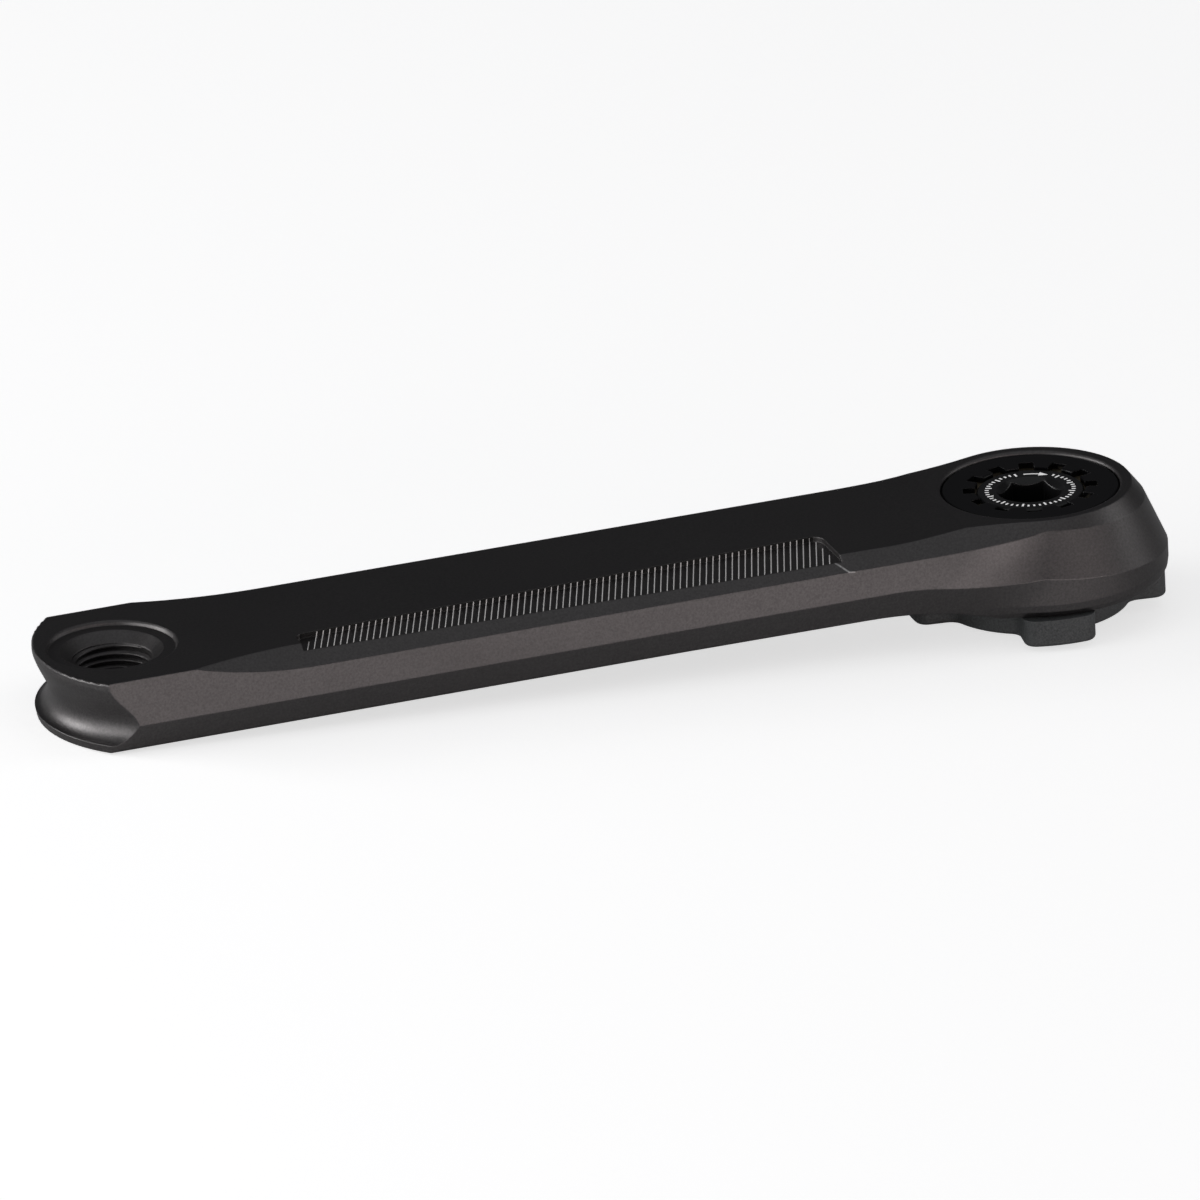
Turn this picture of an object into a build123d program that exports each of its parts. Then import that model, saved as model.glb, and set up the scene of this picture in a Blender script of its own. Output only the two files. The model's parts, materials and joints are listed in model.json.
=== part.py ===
from build123d import *
import math
import os

# Bicycle crank arm, left side. Millimetres.
# Frame: axle axis on Z, outboard +Z, the pedal eye lies toward -X.
# Z = 0 is the inboard mouth of the axle socket.

# Overall sizes
CRANK_LENGTH = 172.5
ARM_THICKNESS = 13.1
HUB_THICKNESS = 17.0
BOSS_LENGTH = 4.2

# Arm section, half widths and depths below the outer face
RIDGE_HALF = 18.83
RIDGE_DEPTH = 8.3
SIDE_LEAN = 1.23
UNDER_LEAN = 1.3
BEVEL_WIDTH = 3.6
BEVEL_SLOPE = 1.3
BOTTOM_CHAMFER = 0.45

# Hub, about the axle
HUB_RIM = 2.1
HUB_SHOULDER = 0.6
HUB_SWELL_TOP = 1.1
HUB_SWELL = 3.37
HUB_FLANK = 3.5
HUB_WALL_STEP = 0.8
HUB_SHIFT = 0.42
HUB_TAIL = 0.75
HUB_BASE_DEPTH = 14.4
HUB_FOOT_ROUND = 1.5
HUB_BEVEL_SLOPE = 0.75
HUB_BLEND_R = 72.0
WALL_BLEND_R = 400.0
BASE_BLEND_R = 60.0
FOOT_BLEND_R = 47.0
UNDERSIDE_BLEND_R = 90.0
UNDERSIDE_END = 12.0

# Pedal eye
PEDAL_THREAD_R = 7.144
PEDAL_FLAT_START = 9.5
PEDAL_BLEND_END = 32.5
END_CORNER_R = 2.0
END_MARGIN = 2.0
FOOT_SPREAD = 0.3
WAIST_CENTRE = 12.05
LIP_SPREAD = 7.97
LIP_HEIGHT = 1.3
LIP_ROUND = 0.4
NECK_INSET = 2.35
NECK_DEPTH = 7.9
FLARE_INSET = 1.2
FLARE_DEPTH = 11.0
SHELF_DEPTH = 11.6
PEDAL_RECESS_LAND = 2.3
PEDAL_RECESS_DEPTH = 0.8
PEDAL_CONE = 2.056
PEDAL_CONE_DEPTH = 1.7
PEDAL_BACK_CHAMFER = 0.7

# Dish of the outer face between the pedal eye and the hub
DISH_FROM_PEDAL = 27.5
DISH_DEEPEST = 32.0
DISH_RIM = 1.5
DISH_DEPTH = 0.8

# Etched pocket on the near edge of the outer face
POCKET_DEPTH = 1.0
POCKET_FROM_PEDAL = 30.5
POCKET_END = 41.5
POCKET_WIDTH_START = 4.3
POCKET_WIDTH_END = 9.4
POCKET_CORNER_R = 2.2

# Lightening channel on the inboard face
CHANNEL_FROM_PEDAL = 33.5
CHANNEL_END = 46.0
CHANNEL_HALF = 8.0
CHANNEL_DEPTH = 7.2
CHANNEL_FILLET = 2.5

# Hub recess, ring, bolt and washers
RECESS_R = 16.0
RECESS_DEPTH = 5.0
RIM_ROUND = 0.8
RING_WALL = 2.8
COLLAR_ROOM = 1.4
RING_TOP_DEPTH = 0.5
RING_LIP = 1.2
NOTCH_COUNT = 12
NOTCH_LAND = 1.2
NOTCH_REACH = 2.1
NOTCH_WIDTH = 2.7
NOTCH_ANGLE = 13.5
BOSS_GAP = 0.3
COLLAR_GAP = 0.2
GLIDE_THICKNESS = 0.5
BOLT_FACE_DEPTH = 1.0
BOLT_WASHER_THICKNESS = 0.8
SHANK_R = 8.0
SHANK_LENGTH = 8.7
HEX_FLATS = 10.0
HEX_DEPTH = 6.5
HEX_ANGLE = 15.0
HEX_LEAD = 0.38

# Axle socket
AXLE_R = 12.0
PILOT_LENGTH = 4.8
RELIEF_LENGTH = 0.9
RELIEF_STEP = 0.4
WEB_THICKNESS = 2.4
SPLINE_COUNT = 24
SPLINE_HEIGHT = 0.95
BOSS_WALL = 2.5
MOUTH_CHAMFER = 0.4

# Preload ring
LUG_COUNT = 4
LUG_ANGLE = -8.0
DISC_WALL = 2.7
LUG_REACH = 6.1
LUG_WIDTH = 13.0
LUG_HEIGHT = 5.0
LUG_CORNER_R = 2.4
DISC_FILLET = 2.4
LUG_FOOT_R = 0.7

# Clearances
RUNNING = 0.05
AXIAL = 0.05
SLIP = 0.1

# Sizes that follow from the ones above
OUTER_FACE_Z = HUB_THICKNESS + BOSS_LENGTH
SIDE_HALF_AT_TOP = RIDGE_HALF - SIDE_LEAN
BOTTOM_HALF = RIDGE_HALF - UNDER_LEAN
TOP_HALF = SIDE_HALF_AT_TOP - BEVEL_WIDTH
BEVEL_REACH = BEVEL_WIDTH / (BEVEL_SLOPE - SIDE_LEAN / RIDGE_DEPTH) + 0.5
HUB_TOP_R = RECESS_R + HUB_RIM
HUB_SIDE_TOP_R = max(HUB_TOP_R + HUB_SHOULDER, SIDE_HALF_AT_TOP + HUB_SWELL_TOP)
HUB_RIDGE_R = max(HUB_SIDE_TOP_R + HUB_FLANK, RIDGE_HALF + HUB_SWELL)
HUB_WALL_R = HUB_RIDGE_R + HUB_WALL_STEP
LIP_R = SIDE_HALF_AT_TOP + LIP_SPREAD
NECK_R = LIP_R - NECK_INSET
FLARE_R = LIP_R - FLARE_INSET
FOOT_R = LIP_R + FOOT_SPREAD
PEDAL_TIP = FOOT_R - WAIST_CENTRE
PEDAL_SEAT_R = PEDAL_THREAD_R + PEDAL_CONE
PEDAL_RECESS_R = PEDAL_SEAT_R + PEDAL_RECESS_LAND
DISH_START = CRANK_LENGTH - DISH_FROM_PEDAL
DISH_END = RECESS_R + DISH_RIM
POCKET_START = CRANK_LENGTH - POCKET_FROM_PEDAL
POCKET_WALL_START = TOP_HALF - POCKET_WIDTH_START
POCKET_WALL_END = TOP_HALF - POCKET_WIDTH_END
CHANNEL_START = CRANK_LENGTH - CHANNEL_FROM_PEDAL
COLLAR_POCKET_R = RECESS_R - RING_WALL
COLLAR_POCKET_DEPTH = RECESS_DEPTH + COLLAR_ROOM
COLLAR_R = COLLAR_POCKET_R - COLLAR_GAP
NOTCH_R = COLLAR_POCKET_R - NOTCH_LAND
RING_OPENING_R = NOTCH_R - NOTCH_REACH
BOLT_BOSS_R = RING_OPENING_R - BOSS_GAP
HEX_LEAD_R = HEX_FLATS / math.sqrt(3) + HEX_LEAD
RELIEF_R = AXLE_R + RELIEF_STEP
SPLINE_TIP_R = AXLE_R - SPLINE_HEIGHT
BOSS_R = AXLE_R + BOSS_WALL
DISC_R = BOSS_R + DISC_WALL
LUG_R = DISC_R + LUG_REACH

PEDAL_X = -CRANK_LENGTH
WAIST_X = PEDAL_X + WAIST_CENTRE
DISH_ANGLE = math.degrees(math.atan2(DISH_DEPTH, DISH_START - DISH_DEEPEST))
WEB_TOP_Z = OUTER_FACE_Z - COLLAR_POCKET_DEPTH
WEB_BOTTOM_Z = WEB_TOP_Z - WEB_THICKNESS
HUB_FOOT_Z = OUTER_FACE_Z - HUB_THICKNESS
ARM_BOTTOM_Z = OUTER_FACE_Z - ARM_THICKNESS
RING_TOP_Z = OUTER_FACE_Z - RING_TOP_DEPTH
LIP_BOTTOM_Z = RING_TOP_Z - RING_LIP
COLLAR_TOP_Z = LIP_BOTTOM_Z - GLIDE_THICKNESS - AXIAL
COLLAR_BOTTOM_Z = WEB_TOP_Z + BOLT_WASHER_THICKNESS
SHANK_END_Z = WEB_TOP_Z - SHANK_LENGTH
LUG_TOP_Z = HUB_FOOT_Z - AXIAL
LUG_BOTTOM_Z = LUG_TOP_Z - LUG_HEIGHT


def at_depth(depth: float) -> float:
    """Height of a level given as its depth below the outer face."""
    return OUTER_FACE_Z - depth


def hub_blend(half: float, radius: float, blend: float, shift: float = 0.0) -> tuple:
    """Points where a concave blend leaves the straight side and meets a hub circle set off by a shift."""
    reach = math.sqrt((radius - half) * (radius + half + 2 * blend))
    scale = radius / (radius + blend)
    on_side = (shift - reach, half)
    on_hub = (shift - reach * scale, (half + blend) * scale)
    turn = math.atan2(half + blend - on_hub[1], reach * scale - reach)
    middle_turn = (math.atan2(-blend, 0.0) + math.atan2(-math.sin(turn), -math.cos(turn))) / 2
    middle = (shift - reach + blend * math.cos(middle_turn), half + blend + blend * math.sin(middle_turn))
    return on_side, middle, on_hub


def end_corner(half: float, end_r: float) -> tuple:
    """Where the end arc meets its corner round, the round's middle, and its end on the straight side."""
    rest = math.sqrt((end_r - END_CORNER_R) ** 2 - (half - END_CORNER_R) ** 2)
    centre = (WAIST_X - rest, half - END_CORNER_R)
    turn = math.atan2(centre[1], -rest)
    scale = end_r / (end_r - END_CORNER_R)
    on_arc = (WAIST_X - rest * scale, centre[1] * scale)
    middle_turn = (turn + math.pi / 2) / 2
    middle = (centre[0] + END_CORNER_R * math.cos(middle_turn),
              centre[1] + END_CORNER_R * math.sin(middle_turn))
    return on_arc, middle, (centre[0], half)


def side_wire(half: float, hub_r: float, depth: float, blend: float = HUB_BLEND_R,
              end_grow: float = 0.0, shift: float = HUB_SHIFT) -> Wire:
    """Closed outline of the main sides at one depth: end arc, corners, straight sides, blends and hub arc."""
    z = at_depth(depth)
    end_r = FOOT_R + end_grow
    arc_end, corner, start = end_corner(half, end_r)
    side, middle, hub = hub_blend(half, hub_r, blend, shift)
    tip_x = WAIST_X - end_r
    edges = [
        Edge.make_three_point_arc((arc_end[0], -arc_end[1], z), (tip_x, 0, z), (arc_end[0], arc_end[1], z)),
        Edge.make_three_point_arc((arc_end[0], arc_end[1], z), (corner[0], corner[1], z), (start[0], half, z)),
        Edge.make_line((start[0], half, z), (side[0], half, z)),
        Edge.make_three_point_arc((side[0], half, z), (middle[0], middle[1], z), (hub[0], hub[1], z)),
        Edge.make_three_point_arc((hub[0], hub[1], z), (shift + hub_r, 0, z), (hub[0], -hub[1], z)),
        Edge.make_three_point_arc((hub[0], -hub[1], z), (middle[0], -middle[1], z), (side[0], -half, z)),
        Edge.make_line((side[0], -half, z), (start[0], -half, z)),
        Edge.make_three_point_arc((start[0], -half, z), (corner[0], -corner[1], z),
                                  (arc_end[0], -arc_end[1], z)),
    ]
    return Wire(edges)


def bevel_wire(depth: float) -> Wire:
    """Closed outline of the upper bevel at one depth, wide at the pedal eye and waisted along the arm."""
    z = at_depth(depth)
    grow = depth * BEVEL_SLOPE
    half = TOP_HALF + grow
    eye = SIDE_HALF_AT_TOP + grow
    hub_r = HUB_TOP_R + depth * HUB_BEVEL_SLOPE
    tail_x = PEDAL_X - PEDAL_TIP - 8.0
    flat_x = PEDAL_X + PEDAL_FLAT_START
    blend_x = PEDAL_X + PEDAL_BLEND_END
    run = blend_x - flat_x
    rise = eye - half
    blend = (run ** 2 + rise ** 2) / (2 * rise)
    mid_angle = math.asin(run / blend) / 2
    mid = (blend_x - blend * math.sin(mid_angle), half + blend * (1 - math.cos(mid_angle)))
    side, middle, hub = hub_blend(half, max(hub_r, half + 0.6), HUB_BLEND_R)
    hub_r = max(hub_r, half + 0.6)
    edges = [
        Edge.make_line((tail_x, -eye, z), (tail_x, eye, z)),
        Edge.make_line((tail_x, eye, z), (flat_x, eye, z)),
        Edge.make_three_point_arc((flat_x, eye, z), (mid[0], mid[1], z), (blend_x, half, z)),
        Edge.make_line((blend_x, half, z), (side[0], half, z)),
        Edge.make_three_point_arc((side[0], half, z), (middle[0], middle[1], z), (hub[0], hub[1], z)),
        Edge.make_three_point_arc((hub[0], hub[1], z), (hub_r, 0, z), (hub[0], -hub[1], z)),
        Edge.make_three_point_arc((hub[0], -hub[1], z), (middle[0], -middle[1], z), (side[0], -half, z)),
        Edge.make_line((side[0], -half, z), (blend_x, -half, z)),
        Edge.make_three_point_arc((blend_x, -half, z), (mid[0], -mid[1], z), (flat_x, -eye, z)),
        Edge.make_line((flat_x, -eye, z), (tail_x, -eye, z)),
    ]
    return Wire(edges)


def turned(points: list, x: float = 0.0) -> Part:
    """Solid of revolution about a vertical axis at X from a closed (radius, height) outline."""
    outline = Plane.XZ * make_face(Polyline(*points, close=True))
    return Pos(x, 0, 0) * revolve(outline, Axis.Z)


def disc(radius: float, low: float, high: float, x: float = 0.0) -> Part:
    """Upright cylinder between two heights."""
    return Pos(x, 0, (low + high) / 2) * Cylinder(radius, high - low)


def upper_body() -> Part:
    """Flanks that spread downward from the outer face, with the bevel taken off their upper edge."""
    reach = HUB_THICKNESS + 1.0
    share = reach / RIDGE_DEPTH
    low_half = SIDE_HALF_AT_TOP + SIDE_LEAN * share
    low_r = HUB_SIDE_TOP_R + (HUB_RIDGE_R - HUB_SIDE_TOP_R) * share
    sides = Solid.make_loft([side_wire(low_half, low_r, reach, end_grow=END_MARGIN),
                             side_wire(SIDE_HALF_AT_TOP, HUB_SIDE_TOP_R, 0.0, end_grow=END_MARGIN)], True)
    bevel = Solid.make_loft([bevel_wire(BEVEL_REACH), bevel_wire(0.0)], True)
    deep = Pos(-CRANK_LENGTH / 2, 0, at_depth(BEVEL_REACH) - 10) * Box(CRANK_LENGTH + 120, 120, 20)
    return Part() + sides & (Part() + bevel + deep)


def facet_half(depth: float) -> float:
    """Half width of the arm's lower sides, which lean inward going down and cross the flanks at the ridge."""
    slope = (RIDGE_HALF - BOTTOM_HALF) / (ARM_THICKNESS - RIDGE_DEPTH)
    return RIDGE_HALF - slope * (depth - RIDGE_DEPTH)


def wall_levels() -> list:
    """Depth, hub radius, blend radius and end growth of each level of the lower body, from the foot up."""
    levels = [(-0.5, HUB_WALL_R, WALL_BLEND_R, END_MARGIN), (HUB_BASE_DEPTH, HUB_WALL_R, BASE_BLEND_R, -0.8)]
    drop = HUB_THICKNESS - HUB_BASE_DEPTH
    for turn in (30, 60, 90):
        t = turn / 90
        depth = HUB_BASE_DEPTH + drop * math.sin(math.radians(turn))
        radius = HUB_WALL_R - HUB_FOOT_ROUND * (1 - math.cos(math.radians(turn)))
        blend = BASE_BLEND_R + (FOOT_BLEND_R - BASE_BLEND_R) * t
        levels.append((depth, radius, blend, -0.8 - 0.3 * t))
    return levels[::-1]


def lower_body() -> Part:
    """Lower sides of the arm, which run out into the hub's upright wall and its rounded foot."""
    wires = [side_wire(facet_half(depth), radius, depth, blend, grow, HUB_SHIFT + HUB_TAIL)
             for depth, radius, blend, grow in wall_levels()]
    lofts = [Solid.make_loft([low, high], True) for low, high in zip(wires, wires[1:])]
    return Part() + lofts


def underside() -> Part:
    """Space under the arm, whose inboard face curves down to the hub's foot."""
    drop = HUB_THICKNESS - ARM_THICKNESS
    run = math.sqrt(2 * UNDERSIDE_BLEND_R * drop - drop ** 2)
    end_x = -UNDERSIDE_END
    start_x = end_x - run
    half_angle = math.asin(run / UNDERSIDE_BLEND_R) / 2
    mid_x = start_x + UNDERSIDE_BLEND_R * math.sin(half_angle)
    mid_z = ARM_BOTTOM_Z - UNDERSIDE_BLEND_R * (1 - math.cos(half_angle))
    tail_x = PEDAL_X - 40
    low_z = HUB_FOOT_Z - 5
    path = [
        Edge.make_line((tail_x, 0, ARM_BOTTOM_Z), (start_x, 0, ARM_BOTTOM_Z)),
        Edge.make_three_point_arc((start_x, 0, ARM_BOTTOM_Z), (mid_x, 0, mid_z), (end_x, 0, HUB_FOOT_Z)),
        Edge.make_line((end_x, 0, HUB_FOOT_Z), (end_x, 0, low_z)),
        Edge.make_line((end_x, 0, low_z), (tail_x, 0, low_z)),
        Edge.make_line((tail_x, 0, low_z), (tail_x, 0, ARM_BOTTOM_Z)),
    ]
    return extrude(make_face(path), 60, both=True)


def dish() -> Part:
    """Shallow hollow of the outer face, deepest just before the hub's raised rim."""
    top = OUTER_FACE_Z + 3.0
    deep = at_depth(DISH_DEPTH)
    rise = DISH_DEEPEST - DISH_END
    mid = (-DISH_DEEPEST + rise * 0.5, deep + DISH_DEPTH * 0.27)
    path = [
        Edge.make_line((-DISH_START, 0, OUTER_FACE_Z), (-DISH_DEEPEST, 0, deep)),
        Edge.make_three_point_arc((-DISH_DEEPEST, 0, deep), (mid[0], 0, mid[1]), (-DISH_END, 0, OUTER_FACE_Z)),
        Edge.make_line((-DISH_END, 0, OUTER_FACE_Z), (-DISH_END, 0, top)),
        Edge.make_line((-DISH_END, 0, top), (-DISH_START, 0, top)),
        Edge.make_line((-DISH_START, 0, top), (-DISH_START, 0, OUTER_FACE_Z)),
    ]
    return extrude(make_face(path), 60, both=True)


def waist_cut() -> Part:
    """Concave groove swept round the pedal end, under a thin round lip and above a flared foot."""
    top = at_depth(-1.0)
    lip_z = at_depth(LIP_HEIGHT)
    far = LIP_R + 20.0
    trim = [
        Edge.make_line((LIP_R - LIP_ROUND, 0, top), (LIP_R - LIP_ROUND, 0, OUTER_FACE_Z)),
        Edge.make_three_point_arc((LIP_R - LIP_ROUND, 0, OUTER_FACE_Z),
                                  (LIP_R - LIP_ROUND * 0.293, 0, at_depth(LIP_ROUND * 0.293)),
                                  (LIP_R, 0, at_depth(LIP_ROUND))),
        Edge.make_line((LIP_R, 0, at_depth(LIP_ROUND)), (LIP_R, 0, lip_z)),
    ]
    neck_z = at_depth(NECK_DEPTH)
    shelf = (FLARE_R + 3.0, 0, at_depth(SHELF_DEPTH))
    groove = Edge.make_spline([(LIP_R, 0, lip_z),
                               (NECK_R + 0.46 * NECK_INSET, 0, at_depth((LIP_HEIGHT + NECK_DEPTH) / 2)),
                               (NECK_R, 0, neck_z),
                               (FLARE_R, 0, at_depth(FLARE_DEPTH)), shelf])
    end = (far, 0, at_depth(SHELF_DEPTH + 0.1))
    outline = trim + [groove, Edge.make_line(shelf, end), Edge.make_line(end, (far, 0, top)),
                      Edge.make_line((far, 0, top), (LIP_R - LIP_ROUND, 0, top))]
    cut = revolve(make_face(outline), Axis.Z)
    window = Pos(-LIP_R - 14.0, 0, at_depth(5)) * Box(2 * LIP_R + 22.0, 4 * LIP_R, 40)
    return Pos(WAIST_X, 0, 0) * (cut & window)


def pedal_hole() -> Part:
    """Recessed seat, lead-in cone and threaded hole of the pedal eye."""
    top = OUTER_FACE_Z + 1.0
    seat = at_depth(PEDAL_RECESS_DEPTH)
    low = ARM_BOTTOM_Z - 1.0
    points = [
        (0, top), (PEDAL_RECESS_R + 0.3, top), (PEDAL_RECESS_R + 0.3, OUTER_FACE_Z),
        (PEDAL_RECESS_R, at_depth(0.3)), (PEDAL_RECESS_R - 0.2, seat), (PEDAL_SEAT_R, seat),
        (PEDAL_THREAD_R, at_depth(PEDAL_RECESS_DEPTH + PEDAL_CONE_DEPTH)),
        (PEDAL_THREAD_R, ARM_BOTTOM_Z + PEDAL_BACK_CHAMFER),
        (PEDAL_THREAD_R + PEDAL_BACK_CHAMFER, ARM_BOTTOM_Z), (PEDAL_THREAD_R + PEDAL_BACK_CHAMFER, low),
        (0, low),
    ]
    return turned(points, PEDAL_X)


def etched_pocket() -> Part:
    """Shallow pocket along the near edge of the outer face, its inner wall slanting across the arm."""
    outer = TOP_HALF + 6.0
    corners = Polyline((-POCKET_START, -outer), (-POCKET_END, -outer), (-POCKET_END, -POCKET_WALL_END),
                       (-POCKET_START, -POCKET_WALL_START), close=True)
    face = make_face(corners)
    inner = [v for v in face.vertices() if v.Y > -outer + 1]
    face = fillet(inner, POCKET_CORNER_R)
    cutter = Pos(DISH_START, 0, -POCKET_DEPTH) * extrude(face, 3.0)
    return Pos(-DISH_START, 0, OUTER_FACE_Z) * Rot(0, DISH_ANGLE, 0) * cutter


def channel() -> Part:
    """Long round-ended lightening channel in the inboard face."""
    length = CHANNEL_START - CHANNEL_END
    slot = SlotOverall(length, 2 * CHANNEL_HALF)
    body = extrude(slot, CHANNEL_DEPTH + 2.0)
    body = fillet(body.edges().group_by(Axis.Z)[-1], CHANNEL_FILLET)
    return Pos(-(CHANNEL_START + CHANNEL_END) / 2, 0, ARM_BOTTOM_Z - 2.0) * body


def axle_socket() -> Part:
    """Everything removed along the axle: recess for the ring, collar pocket, web hole, splines and pilot."""
    top = OUTER_FACE_Z + 1.0
    pilot_z = PILOT_LENGTH
    relief_z = pilot_z + RELIEF_LENGTH
    shoulder = at_depth(RECESS_DEPTH)
    outer = [
        (0, top), (RECESS_R + RIM_ROUND + 1.0, top), (RECESS_R + RIM_ROUND, OUTER_FACE_Z),
        (RECESS_R + RIM_ROUND * 0.5, at_depth(RIM_ROUND * 0.134)),
        (RECESS_R + RIM_ROUND * 0.134, at_depth(RIM_ROUND * 0.5)),
        (RECESS_R, at_depth(RIM_ROUND)), (RECESS_R, shoulder), (COLLAR_POCKET_R, shoulder),
        (COLLAR_POCKET_R, WEB_TOP_Z), (SHANK_R + RUNNING, WEB_TOP_Z), (SHANK_R + RUNNING, WEB_BOTTOM_Z),
        (SPLINE_TIP_R, WEB_BOTTOM_Z), (SPLINE_TIP_R, relief_z), (RELIEF_R, relief_z), (RELIEF_R, pilot_z),
        (AXLE_R, pilot_z), (AXLE_R, 0.0), (AXLE_R + MOUTH_CHAMFER, -MOUTH_CHAMFER),
        (AXLE_R + MOUTH_CHAMFER, -1), (0, -1),
    ]
    socket = turned(outer)
    pitch = 360 / SPLINE_COUNT
    mouth = 0.56 * pitch / 2
    root = 0.40 * pitch / 2
    reach = AXLE_R - 0.05

    def polar(radius: float, angle: float) -> tuple:
        return radius * math.cos(math.radians(angle)), radius * math.sin(math.radians(angle))

    inner_r = SPLINE_TIP_R - 0.6
    groove = make_face(Polyline(polar(inner_r, -mouth), polar(reach, -root), polar(reach, root),
                                polar(inner_r, mouth), close=True))
    tooth = Pos(0, 0, WEB_BOTTOM_Z) * extrude(groove, -(WEB_BOTTOM_Z - relief_z) - 0.2)
    grooves = [Rot(0, 0, pitch * i) * tooth for i in range(SPLINE_COUNT)]
    return socket + grooves


def bottom_wedge(side: int) -> Part:
    """Long wedge taken off one bottom edge, running out where the inboard face turns down to the hub."""
    lean = UNDER_LEAN / (ARM_THICKNESS - RIDGE_DEPTH)

    def section(x: float, size: float) -> Wire:
        high = (BOTTOM_HALF + lean * size, ARM_BOTTOM_Z + size)
        low = (BOTTOM_HALF - 0.8 * size, ARM_BOTTOM_Z)
        top = (high[0] + 0.5 * (high[0] - low[0]), high[1] + 0.5 * (high[1] - low[1]))
        foot = (low[0] + 0.5 * (low[0] - high[0]), low[1] + 0.5 * (low[1] - high[1]))
        corners = [top, foot, (top[0] + 0.6, foot[1])]
        return Wire.make_polygon([(x, side * y, z) for y, z in corners], close=True)

    far_x = PEDAL_X - PEDAL_TIP - 5.0
    fade_x = -UNDERSIDE_END - 60.0
    end_x = -UNDERSIDE_END - 28.0
    steps = [section(far_x, BOTTOM_CHAMFER), section(fade_x, BOTTOM_CHAMFER), section(end_x, 0.02)]
    return Part() + [Solid.make_loft([one, two], True) for one, two in zip(steps, steps[1:])]


def crank_arm() -> Part:
    """The whole arm in one piece."""
    body = upper_body() & lower_body()
    body = body - underside() + disc(BOSS_R, -MOUTH_CHAMFER, HUB_FOOT_Z + 2.0)
    body = body - dish() - waist_cut() - pedal_hole() - etched_pocket() - channel() - axle_socket()
    body = body - bottom_wedge(1) - bottom_wedge(-1)
    return body


def extractor_ring() -> Part:
    """Notched ring seated in the hub recess, with a thin lip over the bolt's collar."""
    low = at_depth(RECESS_DEPTH)
    outline = [
        (RING_OPENING_R, LIP_BOTTOM_Z), (RING_OPENING_R, RING_TOP_Z - 0.2), (RING_OPENING_R + 0.2, RING_TOP_Z),
        (RECESS_R - 0.45, RING_TOP_Z), (RECESS_R, RING_TOP_Z - 0.45), (RECESS_R, low),
        (COLLAR_POCKET_R + 0.1, low), (COLLAR_POCKET_R + 0.1, LIP_BOTTOM_Z),
    ]
    ring = turned(outline)
    depth = NOTCH_R - RING_OPENING_R + 1.0
    notch = Pos(NOTCH_R - depth / 2, 0, RING_TOP_Z - 0.5) * Box(depth, NOTCH_WIDTH, 4.0)
    cuts = [Rot(0, 0, NOTCH_ANGLE + 360 / NOTCH_COUNT * i) * notch for i in range(NOTCH_COUNT)]
    return ring - cuts


def crank_bolt() -> Part:
    """Captive bolt: boss with a hexagon socket, collar and shank."""
    face = at_depth(BOLT_FACE_DEPTH)
    end = SHANK_END_Z
    outline = [
        (0, face), (BOLT_BOSS_R - 0.3, face), (BOLT_BOSS_R, face - 0.3), (BOLT_BOSS_R, COLLAR_TOP_Z),
        (COLLAR_R - 0.2, COLLAR_TOP_Z), (COLLAR_R, COLLAR_TOP_Z - 0.2), (COLLAR_R, COLLAR_BOTTOM_Z),
        (SHANK_R, COLLAR_BOTTOM_Z), (SHANK_R, end + 0.8), (SHANK_R - 0.8, end), (0, end),
    ]
    bolt = turned(outline)
    hexagon = Rot(0, 0, HEX_ANGLE + 30) * RegularPolygon(HEX_FLATS / 2, 6, major_radius=False)
    socket = Pos(0, 0, face) * extrude(hexagon, -HEX_DEPTH)
    lead = turned([(0, face + 1), (HEX_LEAD_R + 1, face + 1), (HEX_LEAD_R, face),
                   (HEX_FLATS / 2 - 0.2, face - 1.25), (0, face - 1.25)])
    tip = turned([(0, face - HEX_DEPTH + 0.2), (HEX_FLATS / 2 - 0.1, face - HEX_DEPTH + 0.2),
                  (0, face - HEX_DEPTH - 1.5)])
    return bolt - socket - lead - tip


def glide_washer() -> Part:
    """Thin washer between the ring's lip and the bolt's collar."""
    washer = disc(COLLAR_R, LIP_BOTTOM_Z - GLIDE_THICKNESS, LIP_BOTTOM_Z)
    return washer - disc(BOLT_BOSS_R + SLIP, 0, OUTER_FACE_Z)


def bolt_washer() -> Part:
    """Steel washer between the bolt's collar and the web."""
    return disc(COLLAR_R, WEB_TOP_Z, COLLAR_BOTTOM_Z) - disc(SHANK_R + SLIP, 0, OUTER_FACE_Z)


def preload_ring() -> Part:
    """Finger-turned ring on the inboard boss, four lugs blended into a disc."""
    plan = Circle(DISC_R)
    for i in range(LUG_COUNT):
        lug = Pos(LUG_R / 2 + 2, 0) * Rectangle(LUG_R + 4, LUG_WIDTH) & Circle(LUG_R)
        plan = plan + Rot(0, 0, LUG_ANGLE + 360 / LUG_COUNT * i) * lug
    inner = [v for v in plan.vertices() if math.hypot(v.X, v.Y) < DISC_R + 0.5]
    plan = fillet(inner, DISC_FILLET)
    outer = [v for v in plan.vertices() if math.hypot(v.X, v.Y) > LUG_R - 0.2]
    plan = fillet(outer, LUG_CORNER_R)
    body = Pos(0, 0, LUG_BOTTOM_Z) * extrude(plan, LUG_HEIGHT)
    body = fillet(body.edges().group_by(Axis.Z)[0], LUG_FOOT_R)
    return body - disc(BOSS_R + RUNNING, -5, HUB_FOOT_Z + 1)


NODES = {
    "crank_arm": crank_arm,
    "extractor_ring": extractor_ring,
    "crank_bolt": crank_bolt,
    "glide_washer": glide_washer,
    "bolt_washer": bolt_washer,
    "preload_ring": preload_ring,
}

os.makedirs("parts", exist_ok=True)
for name, make in NODES.items():
    export_step(make(), f"parts/{name}.step")
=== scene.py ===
"""Looks of a left bicycle crank arm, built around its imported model.

Every length in this file is in metres, in the model's own frame: the axle axis is Z, outboard is +Z
and the pedal eye lies toward -X.
"""

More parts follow.
